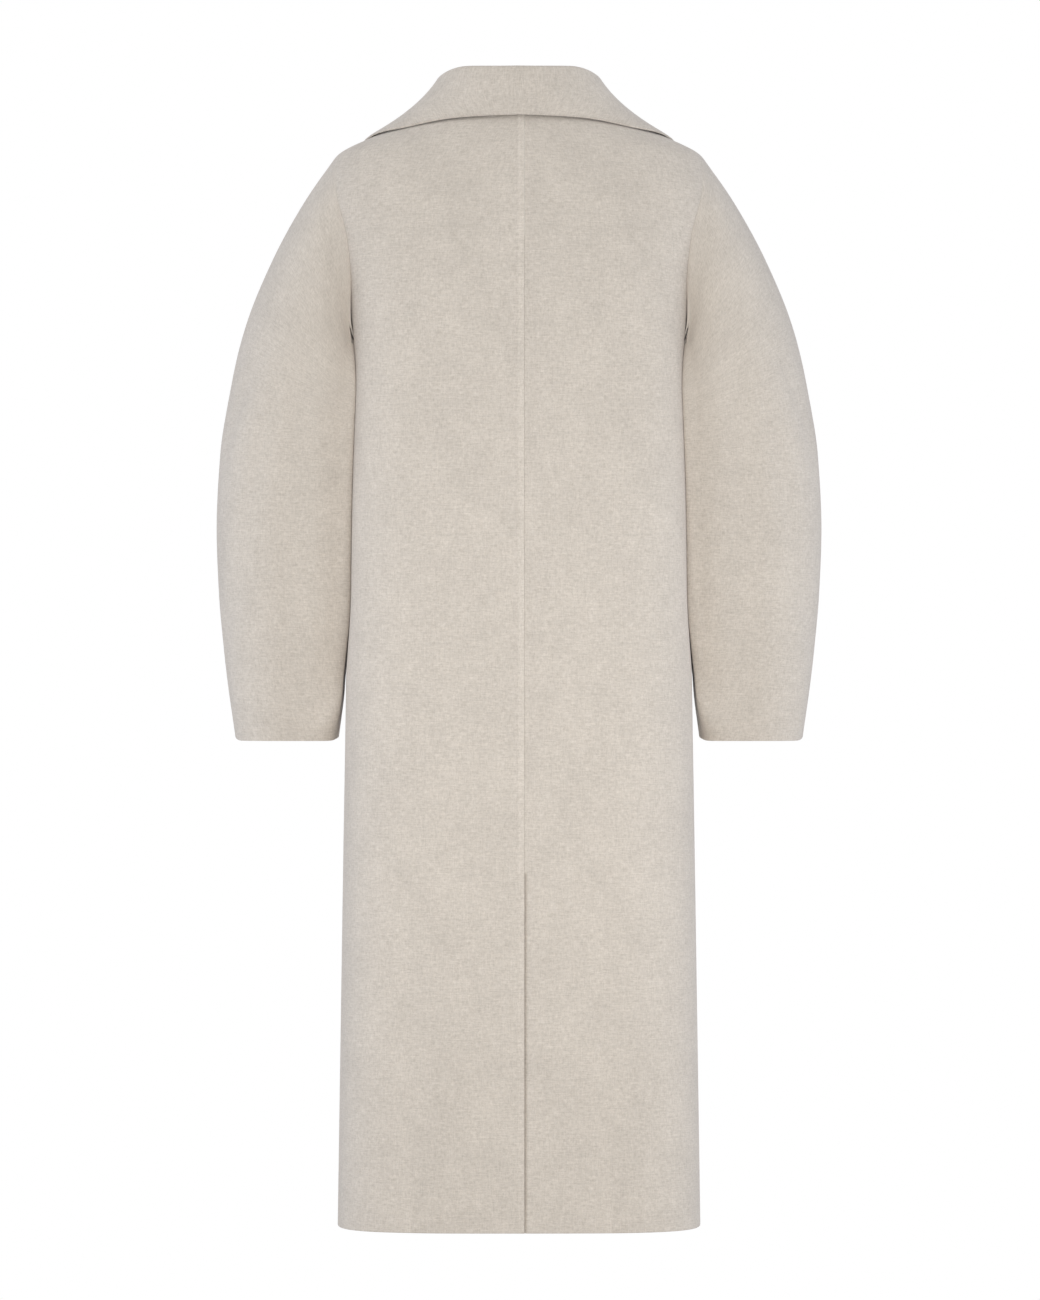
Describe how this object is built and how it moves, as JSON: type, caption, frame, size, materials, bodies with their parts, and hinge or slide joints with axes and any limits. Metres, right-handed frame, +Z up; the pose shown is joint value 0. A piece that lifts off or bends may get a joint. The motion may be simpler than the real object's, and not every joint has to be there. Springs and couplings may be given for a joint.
{
  "type": "double-breasted coat",
  "caption": "Long hollow double-breasted wool coat, filled out as if worn, with a wide notched collar, cocoon sleeves and a back vent.",
  "frame": {"origin": "on the shoulder line where it meets the neck, midway between the shoulders, where a wearer carries the coat", "axes": "+Z up, the front faces -Y, the wearer's left is +X"},
  "size_m": [0.6302, 0.2916, 1.1974],
  "materials": {
    "wool": "brushed beige wool, matt, with a fine mottle",
    "horn": "plain tonal button, satin"
  },
  "bodies": {
    "root": {"back_left": "wool", "back_right": "wool", "front_left": "wool", "front_right": "wool", "sleeve_left": "wool", "sleeve_right": "wool", "collar": "wool", "lapel_left": "wool", "lapel_right": "wool", "button_left_1": "horn", "button_left_2": "horn", "button_left_3": "horn", "button_right_1": "horn", "button_right_2": "horn", "button_right_3": "horn"}
  },
  "joints": []
}
